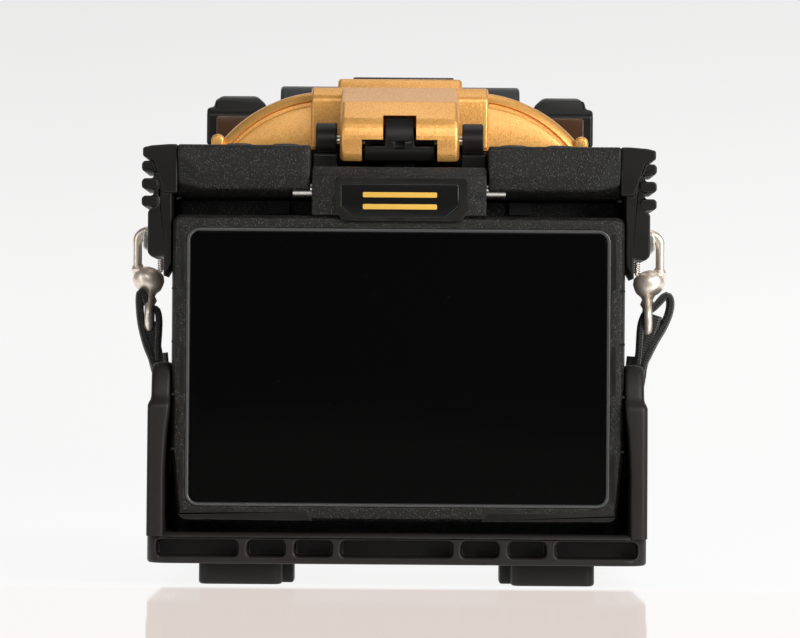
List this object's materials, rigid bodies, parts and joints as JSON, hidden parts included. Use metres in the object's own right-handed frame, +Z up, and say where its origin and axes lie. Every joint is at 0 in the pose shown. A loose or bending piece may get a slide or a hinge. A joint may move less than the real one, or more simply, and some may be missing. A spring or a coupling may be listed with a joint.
{
  "type": "fiber fusion splicer",
  "caption": "Bench-top optical fibre fusion splicer with a tilting front monitor, hinged wind cover, tube heater, rubber bumper and a neck strap on snap hooks.",
  "frame": {"origin": "on the table under the middle of the object, without the strap and its hooks", "axes": "+Z up, -Y towards the monitor's front, +X to the right as the user faces the monitor"},
  "size_m": [0.158, 0.2656, 0.1512],
  "materials": {
    "black_housing": "moulded, fine spark grain",
    "bumper_rubber": "smooth satin elastomer",
    "gold_paint": "fine metallic gold paint",
    "slate_plastic": "dark slate, satin",
    "key_plastic": "satin",
    "screen_glass": "gloss black cover glass",
    "gloss_black": "polished",
    "hook_nickel": "warm nickel plating",
    "steel": "turned or ground",
    "aluminium": "machined",
    "brass": "turned",
    "circuit_board": "solder mask",
    "inner_black": "moulded",
    "ceramic": "ground zirconia",
    "webbing": "woven nylon"
  },
  "bodies": {
    "body": {"base_plate": "inner_black", "rubber_feet": "bumper_rubber", "front_bumper": "bumper_rubber", "rear_bumper": "bumper_rubber", "main_housing": "black_housing", "tripod_insert": "brass", "battery_bay": "inner_black", "board_standoffs": "brass", "main_board": "circuit_board", "high_voltage_unit": "inner_black", "power_sockets": "steel", "optical_bench": "aluminium", "top_deck": "black_housing", "left_wing": "black_housing", "right_wing": "black_housing", "left_side_guard": "black_housing", "right_side_guard": "black_housing", "key_pads": "bumper_rubber", "monitor_hinge_pins": "steel", "monitor_stop_pads": "bumper_rubber", "cover_hinge_bracket": "black_housing", "cover_hinge_pin": "steel", "v_grooves": "ceramic", "electrodes": "steel", "electrode_holders": "inner_black", "microscope_objectives": "inner_black", "heater_base": "slate_plastic", "heater_plate": "aluminium", "heater_hinge_pin": "steel", "strap_anchors": "hook_nickel", "strap_hooks": "hook_nickel", "strap_loops": "webbing", "strap": "webbing"},
    "battery": {"battery_pack": "slate_plastic"},
    "socket_cover": {"socket_flap": "bumper_rubber"},
    "power_button": {"power_key": "key_plastic"},
    "left_arrow_button": {"left_arrow_key": "key_plastic"},
    "right_arrow_button": {"right_arrow_key": "key_plastic"},
    "start_button": {"start_key": "key_plastic"},
    "monitor": {"monitor_bezel": "black_housing", "monitor_rear_cover": "black_housing", "screen_glass": "screen_glass", "glass_rim": "gloss_black", "lcd_panel": "inner_black", "monitor_board": "circuit_board", "monitor_hinge_block": "black_housing", "badge_plate": "gloss_black"},
    "wind_cover": {"wind_cover_band": "gold_paint", "wind_cover_domes": "gold_paint", "cover_trim": "gloss_black", "cover_press_arms": "inner_black"},
    "left_stage": {"left_fibre_stage": "aluminium"},
    "right_stage": {"right_fibre_stage": "aluminium"},
    "left_clamp": {"left_sheath_clamp": "inner_black"},
    "right_clamp": {"right_sheath_clamp": "inner_black"},
    "heater_cover": {"heater_lid": "slate_plastic"},
    "left_heater_cap": {"left_heater_clamp": "gloss_black"},
    "right_heater_cap": {"right_heater_clamp": "gloss_black"},
    "left_gate": {"left_hook_gate": "hook_nickel"},
    "right_gate": {"right_hook_gate": "hook_nickel"}
  },
  "joints": [
    {"name": "monitor_tilt", "type": "hinge", "parent": "body", "child": "monitor", "pos_m": [0, -0.074, 0.113], "axis": [-1, 0, 0], "range_deg": [0, 105]},
    {"name": "wind_cover_hinge", "type": "hinge", "parent": "body", "child": "wind_cover", "pos_m": [0, -0.06, 0.128], "axis": [1, 0, 0], "range_deg": [0, 95]},
    {"name": "heater_lid_hinge", "type": "hinge", "parent": "body", "child": "heater_cover", "pos_m": [0, 0.076, 0.1335], "axis": [-1, 0, 0], "range_deg": [0, 95]},
    {"name": "left_heater_cap_hinge", "type": "hinge", "parent": "body", "child": "left_heater_cap", "pos_m": [0, 0.076, 0.1335], "axis": [-1, 0, 0], "range_deg": [0, 95]},
    {"name": "right_heater_cap_hinge", "type": "hinge", "parent": "body", "child": "right_heater_cap", "pos_m": [0, 0.076, 0.1335], "axis": [-1, 0, 0], "range_deg": [0, 95]},
    {"name": "power_press", "type": "slide", "parent": "body", "child": "power_button", "axis": [0, 0, -1], "range_m": [0, 0.0008], "stiffness_N_per_m": 400},
    {"name": "left_arrow_press", "type": "slide", "parent": "body", "child": "left_arrow_button", "axis": [0, 0, -1], "range_m": [0, 0.0008], "stiffness_N_per_m": 400},
    {"name": "right_arrow_press", "type": "slide", "parent": "body", "child": "right_arrow_button", "axis": [0, 0, -1], "range_m": [0, 0.0008], "stiffness_N_per_m": 400},
    {"name": "start_press", "type": "slide", "parent": "body", "child": "start_button", "axis": [0, 0, -1], "range_m": [0, 0.0008], "stiffness_N_per_m": 400},
    {"name": "left_fibre_feed", "type": "slide", "parent": "body", "child": "left_stage", "axis": [1, 0, 0], "range_m": [0, 0.006]},
    {"name": "right_fibre_feed", "type": "slide", "parent": "body", "child": "right_stage", "axis": [-1, 0, 0], "range_m": [0, 0.006]},
    {"name": "left_clamp_hinge", "type": "hinge", "parent": "left_stage", "child": "left_clamp", "pos_m": [-0.029, -0.007, 0.121], "axis": [-1, 0, 0], "range_deg": [0, 85]},
    {"name": "right_clamp_hinge", "type": "hinge", "parent": "right_stage", "child": "right_clamp", "pos_m": [0.029, -0.007, 0.121], "axis": [-1, 0, 0], "range_deg": [0, 85]},
    {"name": "battery_slide", "type": "slide", "parent": "body", "child": "battery", "axis": [0, 1, 0], "range_m": [0, 0.07]},
    {"name": "socket_flap_hinge", "type": "hinge", "parent": "body", "child": "socket_cover", "pos_m": [-0.02, 0.0816, 0.056], "axis": [-1, 0, 0], "range_deg": [0, 110]},
    {"name": "left_gate_slide", "type": "slide", "parent": "body", "child": "left_gate", "axis": [0, 0, -1], "range_m": [0, 0.003], "stiffness_N_per_m": 300},
    {"name": "right_gate_slide", "type": "slide", "parent": "body", "child": "right_gate", "axis": [0, 0, -1], "range_m": [0, 0.003], "stiffness_N_per_m": 300}
  ],
  "couplings": [
    {"joint": "left_heater_cap_hinge", "follows": "heater_lid_hinge", "ratio": 1},
    {"joint": "right_heater_cap_hinge", "follows": "heater_lid_hinge", "ratio": 1}
  ]
}
